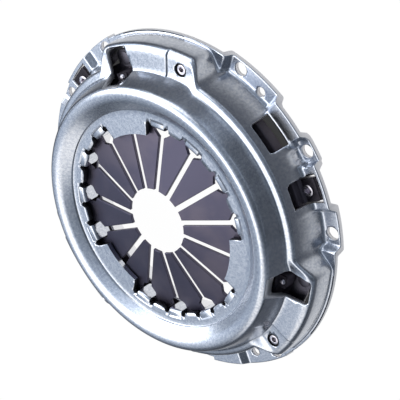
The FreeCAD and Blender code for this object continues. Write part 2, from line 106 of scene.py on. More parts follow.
def cover_corners(rel, below):
    """Corners (r, z, bend) of the sheet's upper face at an angle from the middle of a lobe.
    Below, the lobe is narrower and the pads wider by the sheet."""
    spread = math.degrees(sheet / pad_circle_r) if below else 0.0
    lobe = 1.0 - ramp(lobe_ends[0] - spread, lobe_ends[1] - spread, abs(rel))
    pad = pad_share(rel, spread)
    recess = 1.0 - ramp(hole_recess_end - 0.35, hole_recess_end + 0.35, rel)
    top = lobe_z - hole_recess_drop * recess
    wall_foot = between((wall_foot_r, flange_z, 3.0), (pad_foot_r, pad_z, 3.0), pad)
    reach = flange_r + (cover_r - flange_r) * max(pad, dowel_share(flange_r, rel, dowel_pad_r))
    rim = (reach, flange_z + (pad_z - flange_z) * pad, 0.0)
    return [
        (ring_r, ring_z, 0.0),
        (crease_r, ring_z, 0.5),
        (crease_top_r, ring_z + crease_rise, 0.8),
        (bead_inner_r, bead_z - 0.05, 12.0),
        (bead_outer_r, bead_z + 0.25, 5.5),
        between((shoulder_inner_r, shoulder_inner_z, 1.6), (lobe_inner_r, top, 1.6), lobe),
        between((shoulder_edge_r, shoulder_edge_z, 3.4), (lobe_edge_r, top, 5.0), lobe),
        between(wall_foot, (lobe_foot_r, flange_z, 1.8), lobe),
        rim,
    ]


def moved_inward(corners, distance):
    """The same corners on the sheet's lower face."""
    lines = []
    for first, second in zip(corners[:-1], corners[1:]):
        along = (Vector(second[:2]) - Vector(first[:2])).normalized()
        lines.append((Vector(first[:2]) + Vector((along.y, -along.x)) * distance, along))
    result = [(lines[0][0].x, lines[0][0].y, 0.0)]
    for i in range(1, len(lines)):
        base, along = lines[i - 1]
        other, ahead = lines[i]
        cross = along.cross(ahead)
        corner = base + along * ((other - base).cross(ahead) / cross)
        bend = corners[i][2] + distance if cross > 0 else corners[i][2] - distance
        result.append((corner.x, corner.y, max(bend, 0.3)))
    last = corners[-1]
    result.append((last[0], last[1] - distance, 0.0))
    return result


def bend_arc(before, here, after, radius, count):
    """Points of the arc that rounds a corner. It takes less than half of each side."""
    here = Vector(here)
    back = Vector(before) - here
    ahead = Vector(after) - here
    half = back.angle(ahead) / 2
    reach = min(radius / math.tan(half), back.length * 0.49, ahead.length * 0.49)
    bend = reach * math.tan(half)
    start = here + back.normalized() * reach
    halfway = (back.normalized() + ahead.normalized()).normalized()
    middle = here + halfway * (bend / math.sin(half))
    turn = (math.pi - 2 * half) * (1 if (-back).cross(ahead) > 0 else -1)
    turns = [turn * k / (count - 1) for k in range(count)]
    return [middle + Matrix.Rotation(angle, 2) @ (start - middle) for angle in turns]


def sheet_line(corners, runs, arcs):
    """Points along the corners, with each bend an arc. Every line has the same count of points."""
    points = [Vector(corners[0][:2])]
    for i in range(1, len(corners)):
        here = corners[i][:2]
        if i == len(corners) - 1:
            arc = [Vector(here)]
        else:
            arc = bend_arc(corners[i - 1][:2], here, corners[i + 1][:2], corners[i][2], arcs[i - 1])
        previous = points[-1]
        run = runs[i - 1]
        points += [previous.lerp(arc[0], k / run) for k in range(1, run)]
        points += arc
    return points


def rolled(line, below):
    """The line with its outer edge rounded, more on the punch's side than below."""
    edge = sheared_edge if below else rolled_edge
    down = 1 if below else -1
    end = line[-1]
    turns = [math.radians(a) for a in (0, 22, 45, 68, 90)]
    arc = [end + Vector((edge * (math.sin(t) - 1), edge * down * (1 - math.cos(t)))) for t in turns]
    return line[:-1] + arc


def dowel_share(r, rel, radius):
    """1 on the round pad of the dowel hole, which is open towards the rim."""
    off = math.radians((rel - dowel_offset + sector_turn / 2) % sector_turn - sector_turn / 2)
    across = r * math.sin(off)
    along = min(r * math.cos(off) - pad_circle_r, 0.0)
    away = math.hypot(across, along)
    return 1.0 - ramp(radius - dowel_pad_run / 2, radius + dowel_pad_run / 2, away)


def column_angles():
    """Angles from a lobe's middle over one sector, closer together where the form changes."""
    changes = [(-lobe_ends[1], -lobe_ends[0]), lobe_ends, (hole_recess_end - 0.5, hole_recess_end + 0.5)]
    pad_margin = pad_end_run / 2 + change_margin
    for edge in long_pad + short_pad:
        changes.append((edge - pad_margin, edge + pad_margin))
    dowel_half = 6
    dowel_rel = dowel_offset + sector_turn
    changes.append((dowel_rel - dowel_half, dowel_rel + dowel_half))
    angles = []
    rel = -sector_turn / 2
    while rel < sector_turn / 2 - fine_step / 2:
        angles.append(rel)
        close = any(low <= rel <= high for low, high in changes)
        rel += fine_step if close else coarse_step
    return angles


def cover_sheet():
    """The drawn sheet before piercing: upper face, lower face and both edges."""
    upper, lower = [], []
    runs = (5, 1, 2, 1, 4, 5, 4, 9)
    arcs = (3, 4, 9, 9, 4, 7, 5)
    for k in range(sectors):
        for rel in column_angles():
            angle = math.radians(lobe_angle + sector_turn * k + rel)
            for below, column in ((False, upper), (True, lower)):
                corners = cover_corners(rel, below)
                if below:
                    corners = moved_inward(corners, sheet)
                line = rolled(sheet_line(corners, runs, arcs), below)
                radius = dowel_pad_r + (sheet if below else 0.0)
                level = flange_z - (sheet if below else 0.0)
                drop = flange_z - pad_z
                placed = []
                for point in line:
                    r, z = point
                    if z < level + dowel_pad_reach and r > dowel_pad_from_r:
                        z -= drop * dowel_share(r, rel, radius)
                    placed.append((r * math.cos(angle), r * math.sin(angle), z))
                column.append(placed)
    columns, rows = len(upper), len(upper[0])
    points = [p for column in upper + lower for p in column]

    def at(face, i, j):
        return (face * columns + i % columns) * rows + j

    faces = []
    for i in range(columns):
        for j in range(rows - 1):
            faces.append((at(0, i, j), at(0, i, j + 1), at(0, i + 1, j + 1), at(0, i + 1, j)))
            faces.append((at(1, i + 1, j), at(1, i + 1, j + 1), at(1, i, j + 1), at(1, i, j)))
        rim = rows - 1
        faces.append((at(0, i, rim), at(1, i, rim), at(1, i + 1, rim), at(0, i + 1, rim)))
        faces.append((at(0, i + 1, 0), at(1, i + 1, 0), at(1, i, 0), at(0, i, 0)))
    return points, faces


def rim_faces(mesh):
    """The sheared faces round the blank, upright and at the full radius."""
    return [face for face in mesh.polygons
            if abs(face.normal.z) < 0.2 and face.center.xy.length > (flange_r - 0.4) * mm]


def shown(name, points, faces, sharp=32.0):
    """A mesh object in metres from points in millimetres, shaded smooth apart from its edges."""
    mesh = bpy.data.meshes.new(name)
    mesh.from_pydata([tuple(c * mm for c in p) for p in points], [], faces)
    mesh.polygons.foreach_set("use_smooth", [True] * len(mesh.polygons))
    mesh.set_sharp_from_angle(angle=math.radians(sharp))
    piece = bpy.data.objects.new(name, mesh)
    bpy.context.scene.collection.objects.link(piece)
    return piece


def stacked(layers):
    """Points and faces of a closed body through outlines of equal count, from low to high."""
    count = len(layers[0])
    points = [p for layer in layers for p in layer]
    faces = [tuple(range(count))[::-1], tuple(range(len(points) - count, len(points)))]
    for level in range(len(layers) - 1):
        low = level * count
        for k in range(count):
            after = (k + 1) % count
            faces.append((low + k, low + after, low + count + after, low + count + k))
    return points, faces


def rotated(points, angle):
    c, s = math.cos(math.radians(angle)), math.sin(math.radians(angle))
    return [(x * c - y * s, x * s + y * c, z) for x, y, z in points]


def joined(bodies):
    points, faces = [], []
    for more_points, more_faces in bodies:
        first = len(points)
        points += more_points
        faces += [tuple(first + v for v in face) for face in more_faces]
    return points, faces


def round_outline(r, angle, radius, count=40):
    """A circle, seen from above, at a radius and angle from the axis."""
    cx, cy = r * math.cos(math.radians(angle)), r * math.sin(math.radians(angle))
    turns = [2 * math.pi * k / count for k in range(count)]
    return [(cx + radius * math.cos(t), cy + radius * math.sin(t)) for t in turns]


def softened(outline, steps=5):
    """An outline of (x, y, radius) with its corners rounded."""
    points = []
    for k, (x, y, radius) in enumerate(outline):
        before, after = outline[k - 1][:2], outline[(k + 1) % len(outline)][:2]
        points += bend_arc(before, (x, y), after, radius, steps + 1)
    return [tuple(p) for p in points]


def at_height(outline, z):
    return [(x, y, z) for x, y in outline]


def prism(outline, low, high):
    return stacked([at_height(outline, low), at_height(outline, high)])


# The punches, with the heights at which they begin and end clear of the sheet
under_cover_z, over_flange_z = -2.0, 8.0
under_lobe_z, over_lobe_z, over_bead_z = 16.0, 30.0, 44.0
under_ring_z, over_ring_z = 30.0, 38.0
window_offset = 13.0
vent_offset, vent_half, vent_outer_r = -52.0, 6.0, 107.6
lug_gap_offset, lug_gap_half, lug_gap_outer_r = -74.2, 4.6, 115.6
wall_cut_top = 21.0
wall_cut_round = 3.0
bolt_offset, bolt_hole_d = 30.0, 9.0
pilot_offset, pilot_r, pilot_hole_d = -39.4, 111.2, 6.4
dowel_hole_d = 8.6
access_offset, access_r, access_hole_d = -15.0, 105.3, 9.0
access_seat_z = 22.9
strap_rivet_d = 5.0


def window():
    """Through the lobe's flat and up into the bead's outer wall."""
    half = [(91.2, 7.0, 1.2), (96.0, 10.2, 1.2), (113.4, 8.8, 3.0)]
    outline = softened([(x, -y, bend) for x, y, bend in half] + half[::-1])
    return prism(outline, under_lobe_z, over_bead_z)


def wall_cut(half, outer_r):
    """An opening in the side wall with rounded upper corners, open into the flange."""
    inner_r = 91.0
    steps = 6

    def outline(inset):
        low = math.radians(half) - inset / outer_r
        high = math.radians(half) - inset / inner_r
        ring = [(outer_r, low * k / 2) for k in (-2, -1, 0, 1, 2)]
        ring += [(inner_r, high), (inner_r, -high)]
        return [(r * math.cos(a), r * math.sin(a)) for r, a in ring]

    layers = [at_height(outline(0.0), under_cover_z)]
    for step in range(steps + 1):
        a = math.pi / 2 * step / steps
        inset = wall_cut_round * (1 - math.cos(a))
        layers.append(at_height(outline(inset), wall_cut_top - wall_cut_round * (1 - math.sin(a))))
    return stacked(layers)


def drilled(r, angle, d, low, high):
    return prism(round_outline(r, angle, d / 2), low, high)


# The ring's inner edge is notched on both sides of each tab, and cut back between the tabs
tab_width = 10.8
tab_face_r = 65.4
tab_root_r = 70.0
notch_width = 3.9
notch_end_r = 69.0
scallop_r = 66.0
finger_pitch = 24.0
plain_angle = 72.0
tabs_per_sector = 4


def tab_notches():
    """One outline round the four tabs of a sector, closed inside the ring's opening."""
    mouth_r = 52.0
    near, far = tab_width / 2, tab_width / 2 + notch_width
    bend = notch_width / 2
    centre_r = notch_end_r - bend
    outline = []
    for n in range(1, tabs_per_sector + 1):
        side = [(scallop_r, -far), (centre_r, -far)]
        for k in range(1, 8):
            a = math.pi * k / 8
            side.append((centre_r + bend * math.sin(a), -near - bend - bend * math.cos(a)))
        side += [(centre_r, -near), (tab_root_r, -near)]
        side += [(x, -y) for x, y in reversed(side)]
        if n == 1:
            side[0] = (mouth_r, -far)
        if n == tabs_per_sector:
            side[-1] = (mouth_r, far)
        turned = rotated(at_height(side, 0.0), finger_pitch * n)
        outline += [(x, y) for x, y, z in turned]
        if n < tabs_per_sector:
            gap = finger_pitch - 2 * math.degrees(math.asin(far / scallop_r))
            start = finger_pitch * n + math.degrees(math.asin(far / scallop_r))
            for k in range(1, 4):
                a = math.radians(start + gap * k / 4)
                outline.append((scallop_r * math.cos(a), scallop_r * math.sin(a)))
    for degrees in (88, 76, 64, 52, 40, 32):
        a = math.radians(degrees)
        outline.append((mouth_r * math.cos(a), mouth_r * math.sin(a)))
    return prism(outline, under_ring_z, over_ring_z)


cuts, notch_cuts = [], []
for k in range(sectors):
    middle = lobe_angle + sector_turn * k
    for body, turn in ((window(), window_offset), (wall_cut(vent_half, vent_outer_r), vent_offset),
                       (wall_cut(lug_gap_half, lug_gap_outer_r), lug_gap_offset)):
        cuts.append((rotated(body[0], middle + turn), body[1]))
    notches = tab_notches()
    notch_cuts.append((rotated(notches[0], plain_angle + sector_turn * k), notches[1]))
    holes = ((pad_circle_r, -bolt_offset, bolt_hole_d), (pad_circle_r, bolt_offset, bolt_hole_d),
             (pilot_r, pilot_offset, pilot_hole_d), (pad_circle_r, dowel_offset, dowel_hole_d))
    for r, offset, d in holes:
        cuts.append(drilled(r, middle + offset, d, under_cover_z, over_flange_z))
counterbores, rivet_holes = [], []
for k in range(sectors):
    angle = lobe_angle + sector_turn * k + access_offset
    counterbores.append(drilled(access_r, angle, access_hole_d, access_seat_z, over_lobe_z))
    rivet_holes.append(drilled(access_r, angle, strap_rivet_d, under_lobe_z, over_lobe_z))


def settled(piece):
    """The piece's mesh with its modifiers worked in."""
    graph = bpy.context.evaluated_depsgraph_get()
    mesh = bpy.data.meshes.new_from_object(piece.evaluated_get(graph))
    piece.modifiers.clear()
    piece.data = mesh
    return mesh


def pierced(piece, bodies, metal):
    """Takes closed bodies out of a piece. The new faces get the metal given, which for the notches and
    holes is painted shade.
    """
    cutter = shown("cutter", *joined(bodies))
    cutter.data.materials.append(metal)
    cut = piece.modifiers.new("cut", "BOOLEAN")
    cut.operation = "DIFFERENCE"
    cut.solver = "EXACT"
    cut.material_mode = "TRANSFER"
    cut.object = cutter
    settled(piece)
    bpy.data.objects.remove(cutter)


def bent_tab():
    """One tab from the ring's notched edge, down through the spring and out under the wire."""
    hook_top = 24.43
    hook_low = hook_top - sheet
    hook_r = 76.4
    bend = 4.4
    front = [(tab_root_r, ring_z, 0.0), (tab_face_r, ring_z, bend), (tab_face_r, hook_low, bend),
             (hook_r, hook_low, 0.0)]
    back = [(tab_root_r, ring_z - sheet, 0.0), (tab_face_r + sheet, ring_z - sheet, bend - sheet),
            (tab_face_r + sheet, hook_top, bend - sheet), (hook_r, hook_top, 0.0)]
    runs, arcs = (2, 4, 3), (8, 8)
    edge = 0.45
    side = tab_width / 2
    corner = [(side - edge, 0.0), (side - edge * 0.3, edge * 0.3), (side, edge)]
    across = [(-y, depth) for y, depth in reversed(corner)] + [(0.0, 0.0)] + corner
    lines = [sheet_line(front, runs, arcs), sheet_line(back, runs, arcs)]
    rings = []
    for outer, inner in zip(*lines):
        through = (inner - outer).normalized()
        ring = []
        for y, depth in across:
            p = outer + through * depth
            ring.append((p.x, y, p.y))
        for y, depth in reversed(across):
            p = inner - through * depth
            ring.append((p.x, y, p.y))
        rings.append(ring)
    return stacked(rings)


class Link:
    """One output of a node. Arithmetic on it adds Math nodes."""

    def __init__(self, tree, socket):
        self.tree = tree
        self.socket = socket

    def node(self, kind, settings, inputs, output=0):
        """Adds a node, sets it up, fills its sockets with values or links, and gives an output."""
        made = self.tree.nodes.new(kind)
        for name, value in settings.items():
            setattr(made, name, value)
        for name, value in inputs.items():
            if isinstance(value, Link):
                self.tree.links.new(value.socket, made.inputs[name])
            else:
                made.inputs[name].default_value = value
        return Link(self.tree, made.outputs[output])

    def maths(self, operation, *others):
        return self.node("ShaderNodeMath", {"operation": operation}, dict(enumerate((self, *others))))

    def __add__(self, other):
        return self.maths("ADD", other)

    def __sub__(self, other):
        return self.maths("SUBTRACT", other)

    def __rsub__(self, other):
        return self.node("ShaderNodeMath", {"operation": "SUBTRACT"}, {0: other, 1: self})

    def __mul__(self, other):
        return self.maths("MULTIPLY", other)

    __radd__ = __add__

    def eased(self, low, high):
        """0 below low and 1 above high."""
        return self.node("ShaderNodeMapRange", {"interpolation_type": "SMOOTHSTEP"},
                         {"Value": self, "From Min": low, "From Max": high})

    def noise(self, scale, detail=2.0, roughness=0.5):
        inputs = {"Vector": self, "Scale": scale, "Detail": detail, "Roughness": roughness}
        return self.node("ShaderNodeTexNoise", {}, inputs)

    def tint(self, part, first, second):
        """A colour that goes from first to second as part goes from 0 to 1."""
        colours = [c if isinstance(c, Link) else (*c, 1.0) for c in (first, second)]
        inputs = {"Factor": part, 6: colours[0], 7: colours[1]}
        return self.node("ShaderNodeMix", {"data_type": "RGBA"}, inputs, 2)

    def part(self, axis):
        return self.node("ShaderNodeSeparateXYZ", {}, {"Vector": self}, axis)

    def radius(self):
        x, y = self.part("X"), self.part("Y")
        return (x * x + y * y).maths("SQRT")

    def bumped(self, height, strength, distance):
        inputs = {"Height": height, "Strength": strength, "Distance": distance}
        return self.node("ShaderNodeBump", {}, inputs)


def finish(name, paint):
    """A material whose shader sockets come from paint, given the place on the object."""
    made = bpy.data.materials.new(name)
    made.use_nodes = True
    tree = made.node_tree
    shader = tree.nodes["Principled BSDF"]
    place = Link(tree, tree.nodes.new("ShaderNodeTexCoord").outputs["Object"])
    for socket, value in paint(place).items():
        if isinstance(value, Link):
            tree.links.new(value.socket, shader.inputs[socket])
        else:
            shader.inputs[socket].default_value = value
    return made


def drawn_steel(place):
    """Cold-drawn sheet with a faint bluish mottle and fine grain from the press."""
    mottle = place.noise(600.0, 4.0, 0.7)
    grain = place.noise(2600.0, 2.0, 0.6)
    cloud = place.noise(38.0, 2.0)
    colour = place.tint(mottle.eased(0.35, 0.65), (0.54, 0.57, 0.64), (0.72, 0.74, 0.78))
    return {
        "Base Color": colour,
        "Metallic": 1.0,
        "Roughness": 0.17 + cloud * 0.06 + grain * 0.06,
        "Normal": place.bumped(mottle * 0.4 + grain * 0.6, 0.06, 0.0003),
    }


def sheared_steel(place):
    """Edges from the shearing tools, brighter and finely torn."""
    roughness = 0.34 + place.noise(1800.0) * 0.2
    return {"Base Color": (0.74, 0.73, 0.74, 1.0), "Metallic": 0.7, "Roughness": roughness}


def painted_shade_steel(place):
    """Painted shade, near black, for the unlit faces in narrow notches, counterbores and rivet holes."""
    roughness = 0.5 + place.noise(900.0) * 0.1
    return {"Base Color": (0.03, 0.03, 0.035, 1.0), "Metallic": 0.6, "Roughness": roughness}


steel = finish("drawn_steel", drawn_steel)
sheared = finish("sheared_steel", sheared_steel)
shade_paint = finish("painted_shade_steel", painted_shade_steel)
cover = shown("pressed_cover", *cover_sheet())
cover.data.materials.append(steel)
cover.data.materials.append(sheared)
for face in rim_faces(cover.data):
    face.material_index = 1
pierced(cover, cuts, sheared)
# The faces cut by the notches, counterbores and rivet holes get painted shade, not a colour of the steel
pierced(cover, notch_cuts + counterbores, shade_paint)
pierced(cover, rivet_holes, shade_paint)


def around_axis(name, source, count, start, step, skip_every, material):
    """Copies of a piece turned about the clutch axis, made by Geometry Nodes and kept as one mesh."""
    tree = bpy.data.node_groups.new(name, "GeometryNodeTree")
    sockets = {"Piece": "Object", "Count": "Int", "Start": "Float", "Step": "Float",
               "Skip Every": "Int", "Material": "Material"}
    for label, kind in sockets.items():
        tree.interface.new_socket(label, in_out="INPUT", socket_type="NodeSocket" + kind)
    tree.interface.new_socket("Geometry", in_out="OUTPUT", socket_type="NodeSocketGeometry")
    given = tree.nodes.new("NodeGroupInput")
    value = {label: Link(tree, given.outputs[label]) for label in sockets}
    index = Link(tree, tree.nodes.new("GeometryNodeInputIndex").outputs[0])
    points = index.node("GeometryNodePoints", {}, {"Count": value["Count"]})
    turn = value["Start"] + value["Step"] * index
    rotation = index.node("ShaderNodeCombineXYZ", {}, {"Z": turn})
    chosen = (index + 1).maths("MODULO", value["Skip Every"]).maths("GREATER_THAN", 0.5)
    piece = index.node("GeometryNodeObjectInfo", {}, {"Object": value["Piece"]}, "Geometry")
    spread = {"Points": points, "Selection": chosen, "Instance": piece, "Rotation": rotation}
    copies = index.node("GeometryNodeInstanceOnPoints", {}, spread)
    real = index.node("GeometryNodeRealizeInstances", {}, {"Geometry": copies})
    coat = {"Geometry": real, "Material": value["Material"]}
    coated = index.node("GeometryNodeSetMaterial", {}, coat)
    tree.links.new(coated.socket, tree.nodes.new("NodeGroupOutput").inputs["Geometry"])
    made = shown(name, [], [])
    modifier = made.modifiers.new("around", "NODES")
    modifier.node_group = tree
    settings = {"Piece": source, "Count": count, "Start": math.radians(start),
                "Step": math.radians(step), "Skip Every": skip_every, "Material": material}
    for item in tree.interface.items_tree:
        if item.name in settings:
            modifier[item.identifier] = settings[item.name]
    made.update_tag()
    settled(made)
    bpy.data.objects.remove(source)
    return made


# Every fifth place is plain, so the count goes on over it
tab_source = shown("tab_source", *bent_tab())
places = tabs_per_sector + 1
first_tab = plain_angle + finger_pitch
tabs = around_axis("cover_tabs", tab_source, sectors * places, first_tab, finger_pitch, places, steel)
for piece in (cover, tabs):
    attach(piece, "cover")
    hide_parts("clutch_cover")

# Fulcrum wires, two closed rings of hardened round wire. The tabs hold them against the spring,
# one on each face, so that the spring can rock between them.
wire_d = 3.0
fulcrum_r = 73.5
cone = math.radians(8.8)
spring_t = 2.3
wire_reach = wire_d / 2 / math.cos(cone)
fulcrum_z = ring_z - sheet - wire_d / 2 - wire_reach
spring_rise = spring_t / math.cos(cone)


def wire_ring(name, height):
    rings, sides = 240, 16
    points, faces = [], []
    for i in range(rings):
        a = 2 * math.pi * i / rings
        for j in range(sides):
            b = 2 * math.pi * j / sides
            r = fulcrum_r + wire_d / 2 * math.cos(b)
            points.append((r * math.cos(a), r * math.sin(a), height + wire_d / 2 * math.sin(b)))
            following = (i + 1) % rings
            faces.append((i * sides + j, following * sides + j,
                          following * sides + (j + 1) % sides, i * sides + (j + 1) % sides))
    return shown(name, points, faces)


def wire_steel(place):
    """Dark, smooth wire as it comes from the hardening oil."""
    roughness = 0.3 + place.noise(900.0) * 0.15
    return {"Base Color": (0.07, 0.07, 0.08, 1.0), "Metallic": 1.0, "Roughness": roughness}


wire = finish("wire_steel", wire_steel)
for node, height in (("upper_fulcrum_ring", fulcrum_z + wire_reach),
                     ("lower_fulcrum_ring", fulcrum_z - spring_rise - wire_reach)):
    ring = wire_ring("wire_" + node, height)
    ring.data.materials.append(wire)
    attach(ring, "cover")
    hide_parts(node)

# Diaphragm spring, a cone of spring steel slotted into fingers and oil-hardened to a dark skin.
# Its outer edge follows the plate while the wires hold its middle.
fingers = 15
tip_r = 22.6
spring_outer_r = 90.0
slot_half = 1.85
keyhole_from_r, keyhole_wide_r, keyhole_to_r = 58.4, 62.6, 71.2
keyhole_neck, keyhole_half = 3.2, 6.3
keyhole_round = 1.8
keyhole_steps = (0.0, 0.12, 0.4, 0.9, 1.8, 2.6, 3.4, 4.4, 6.5, 8.8, 10.6, 11.4, 12.0, 12.4, 12.7)
finger_edge = 0.3


def spring_top(r):
    return fulcrum_z - math.tan(cone) * (r - fulcrum_r)


def slot_side(r):
    """Half the width of the slot or keyhole at a radius."""
    if r <= keyhole_from_r:
        return slot_half
    if r > keyhole_to_r + 0.01:
        return 0.0
    widening = ramp(keyhole_from_r, keyhole_wide_r, r)
    side = keyhole_neck + (keyhole_half - keyhole_neck) * widening
    start = min((r - keyhole_from_r) / keyhole_round, 1.0)
    side = slot_half + (side - slot_half) * math.sqrt(1 - (1 - start) ** 2)
    last = max((r - keyhole_to_r + keyhole_round) / keyhole_round, 0.0)
    return side - keyhole_round * (1 - math.sqrt(max(1 - last * last, 0.0)))


def finger_sector(number):
    """One finger with its share of the spring's outer band."""
    radii = [tip_r, tip_r + finger_edge]
    radii += [tip_r + (keyhole_from_r - tip_r) * k / 14 for k in range(1, 14)]
    radii += [keyhole_from_r + step for step in keyhole_steps]
    radii += [keyhole_to_r, keyhole_to_r + 0.1]
    radii += [keyhole_to_r + (spring_outer_r - keyhole_to_r) * k / 12 for k in range(1, 12)]
    radii += [spring_outer_r - finger_edge, spring_outer_r]
    across = 10
    top, bottom = [], []
    for r in radii:
        side = slot_side(r)
        half = math.radians(finger_pitch / 2) - math.asin(side / r)
        edge = finger_edge / r
        places = [half * (2 * k / across - 1) for k in range(1, across)]
        places = [-half, -half + edge] + places + [half - edge, half]
        for n, a in enumerate(places):
            soft = side > 0 and n in (0, len(places) - 1) or r in (tip_r, spring_outer_r)
            drop = finger_edge if soft else 0.0
            turn = a + math.radians(finger_pitch * (number + 0.5))
            x, y = r * math.cos(turn), r * math.sin(turn)
            top.append((x, y, spring_top(r) - drop))
            bottom.append((x, y, spring_top(r) - spring_rise + drop))
    rows, columns = len(radii), across + 3
    first = len(top)
    faces = []
    for i in range(rows - 1):
        for j in range(columns - 1):
            a, b = i * columns + j, (i + 1) * columns + j
            faces.append((a, b, b + 1, a + 1))
            faces.append((first + a, first + a + 1, first + b + 1, first + b))
        a, b = i * columns, (i + 1) * columns
        faces.append((a, first + a, first + b, b))
        a, b = a + columns - 1, b + columns - 1
        faces.append((a, b, first + b, first + a))
    for j in range(columns - 1):
        faces.append((j, j + 1, first + j + 1, first + j))
        a = (rows - 1) * columns + j
        faces.append((a, first + a, first + a + 1, a + 1))
    return top + bottom, faces


def hardened_steel(place):
    """Dark purple-grey skin with brown tints, worn a little lighter in patches."""
    cloud = place.noise(26.0, 3.0, 0.6)
    grain = place.noise(1500.0, 2.0)
    colour = place.tint(cloud.eased(0.42, 0.66), (0.085, 0.08, 0.118), (0.118, 0.105, 0.138))
    return {
        "Base Color": colour,
        "Metallic": 0.9,
        "Roughness": 0.34 + grain * 0.12 + cloud * 0.06,
        "Normal": place.bumped(grain, 0.12, 0.0003),
    }


hardened = finish("hardened_steel", hardened_steel)
for number in range(fingers):
    sector = shown("spring_finger_{}".format(number + 1), *finger_sector(number))
    sector.data.materials.append(hardened)
    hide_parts("diaphragm_spring")
    direction = Vector((1, 0, 0))
    direction.rotate(Matrix.Rotation(math.radians(finger_pitch * (number + 0.5)), 3, "Z"))
    level = Vector((0, 0, fulcrum_z * mm))
    tuple(direction * fulcrum_r * mm + level)
    tuple(direction * (spring_outer_r - 3) * mm + level)
    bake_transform(sector)

# Pressure plate, a grey-iron casting under the spring. Its lower face is ground for the disc,
# and the rest keeps the skin of the sand mould. These sizes are metres, for its finish.
friction_z = 0.006
bore_r = 0.0726
ring_waves = 5200.0


def dressed(node, name, edge):
    """A copy of a modelled piece, with its facets merged and its edges broken."""
    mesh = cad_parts[node].data.copy()
    mesh.materials.clear()
    solid = bmesh.new()
    solid.from_mesh(mesh)
    bmesh.ops.remove_doubles(solid, verts=solid.verts, dist=0.00001)
    bmesh.ops.dissolve_limit(solid, angle_limit=math.radians(0.5), verts=solid.verts, edges=solid.edges)
    solid.to_mesh(mesh)
    solid.free()
    piece = bpy.data.objects.new(name, mesh)
    bpy.context.scene.collection.objects.link(piece)
    if edge > 0:
        bevel = piece.modifiers.new("edge", "BEVEL")
        bevel.limit_method = "ANGLE"
        bevel.angle_limit = math.radians(40)
        bevel.width = edge * mm
        bevel.segments = 2
        mesh = settled(piece)
    mesh.polygons.foreach_set("use_smooth", [True] * len(mesh.polygons))
    mesh.set_sharp_from_angle(angle=math.radians(32))
    return piece


def cast_iron(place):
    """Grainy casting skin, a bored inner wall, and a ground face below with fine rings."""
    skin = place.noise(420.0, 4.0, 0.65)
    cloud = place.noise(30.0, 2.0)
    below = 1 - place.part("Z").eased(friction_z, friction_z + 0.0002)
    bored = 1 - place.radius().eased(bore_r, bore_r + 0.0004)
    rings = (place.radius() * ring_waves).maths("SINE")
    colour = place.tint(cloud, (0.07, 0.06, 0.075), (0.11, 0.095, 0.115))
    ground = place.tint(below, colour, (0.42, 0.42, 0.44))
    turned = place.tint(bored, ground, (0.86, 0.86, 0.88))
    cut = below.maths("MAXIMUM", bored)
    return {
        "Base Color": turned,
        "Metallic": 0.55 + cut * 0.4,
        "Roughness": 0.52 - cut * 0.24 + skin * 0.1,
        "Normal": place.bumped(skin * (1 - cut) + rings * below * 0.08, 0.5, 0.0004),
    }


iron = finish("cast_iron", cast_iron)
plate = dressed("pressure_plate", "iron_plate", 0.3)
plate.data.materials.append(iron)
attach(plate, "plate")
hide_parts("pressure_plate")


def strap_steel(place):
    """Rolled spring strip with a thin dark skin."""
    roughness = 0.34 + place.noise(700.0) * 0.15
    return {"Base Color": (0.10, 0.095, 0.115, 1.0), "Metallic": 1.0, "Roughness": roughness}


strap_metal = finish("strap_steel", strap_steel)
for number in range(1, sectors + 1):
    for layer in "abc":
        node = "strap_{}_leaf_{}".format(number, layer)
        leaf = dressed(node, "spring_" + node, 0.0)
        leaf.data.materials.append(strap_metal)
        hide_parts(node)
        middle = math.radians(lobe_angle + sector_turn * (number - 1))
        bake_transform(leaf)

# Rivets, clips and lug faces. The rivets are bright turned steel, the clips bent strip that pulls
# the plate back with the spring, and the lug faces blackened plates held by hollow rivets.


def bright_steel(place):
    """Turned rivet steel, left bright."""
    roughness = 0.22 + place.noise(800.0) * 0.12
    return {"Base Color": (0.66, 0.63, 0.68, 1.0), "Metallic": 1.0, "Roughness": roughness}


def black_steel(place):
    """Strip blackened in a hot bath."""
    roughness = 0.4 + place.noise(600.0) * 0.15
    return {"Base Color": (0.03, 0.026, 0.034, 1.0), "Metallic": 0.8, "Roughness": roughness}


bright = finish("bright_steel", bright_steel)
blackened = finish("black_steel", black_steel)
fittings = (
    ("strap_cover_rivet", bright, "cover", "rivet_steel"),
    ("strap_plate_rivet", strap_metal, "plate", "rivet_steel"),
    ("retraction_clip", blackened, "plate", "clip_steel"),
    ("clip_rivet", bright, "plate", "rivet_steel"),
    ("lug_plate", blackened, "plate", "dark_steel"),
    ("lug_rivet", bright, "plate", "rivet_steel"),
)
for number in range(1, sectors + 1):
    for kind, metal, body, slot in fittings:
        node = "{}_{}".format(kind, number)
        fitting = dressed(node, "fitted_" + node, 0.15)
        fitting.data.materials.append(metal)
        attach(fitting, body)
        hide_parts(node)

# Camera of the photograph, found from the parts' known forms: the tip circle, the tabs, the
# keyholes, the bolt holes and the cover's rim. Pixels are those of the square photograph.
sensor_mm = 36.0
view_tilt = math.radians(50.578)
view_roll = math.radians(-31.136)
view_turn = math.radians(0.78)
view_height = 0.0377
axis_px = (156.326, 221.307)
picture_px = 400
focal_px = 1479.3
view_distance = 0.94574

